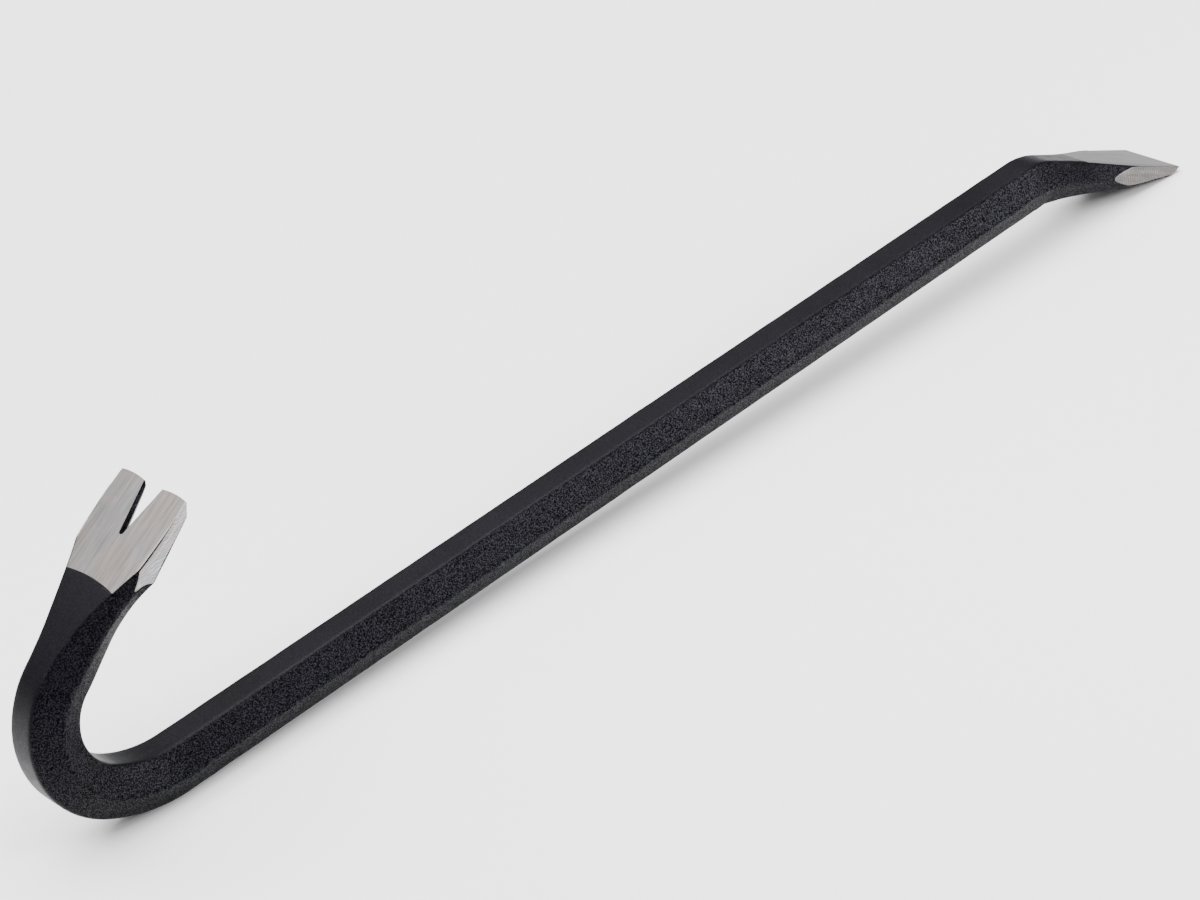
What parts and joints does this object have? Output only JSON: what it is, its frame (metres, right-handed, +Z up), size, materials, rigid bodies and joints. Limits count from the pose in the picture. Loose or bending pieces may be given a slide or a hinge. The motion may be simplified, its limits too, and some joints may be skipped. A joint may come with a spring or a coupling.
{
  "type": "pry bar",
  "caption": "Gooseneck pry bar of black-coated hexagonal steel bar, with a bevelled nail claw at the hooked end and an angled chisel at the other.",
  "frame": {"origin": "centre of the bounding box's underside, on the surface the bar rests on", "axes": "+X along the bar from the gooseneck to the chisel, +Y across it, +Z up, away from the resting surface"},
  "size_m": [0.4584, 0.031, 0.091],
  "materials": {
    "black_coat": "fine-textured black coat",
    "ground_steel": "ground bare, fine lengthwise grinding marks",
    "forged_core": "forged, under the coat"
  },
  "bodies": {
    "root": {"nail_claw": "ground_steel", "claw_neck": "forged_core", "gooseneck_bend": "forged_core", "hex_shank": "forged_core", "chisel_neck": "forged_core", "chisel_blade": "ground_steel", "claw_coat": "black_coat", "slot_coat": "black_coat", "claw_neck_coat": "black_coat", "gooseneck_coat": "black_coat", "shank_coat": "black_coat", "chisel_neck_coat": "black_coat", "chisel_coat": "black_coat"}
  },
  "joints": []
}
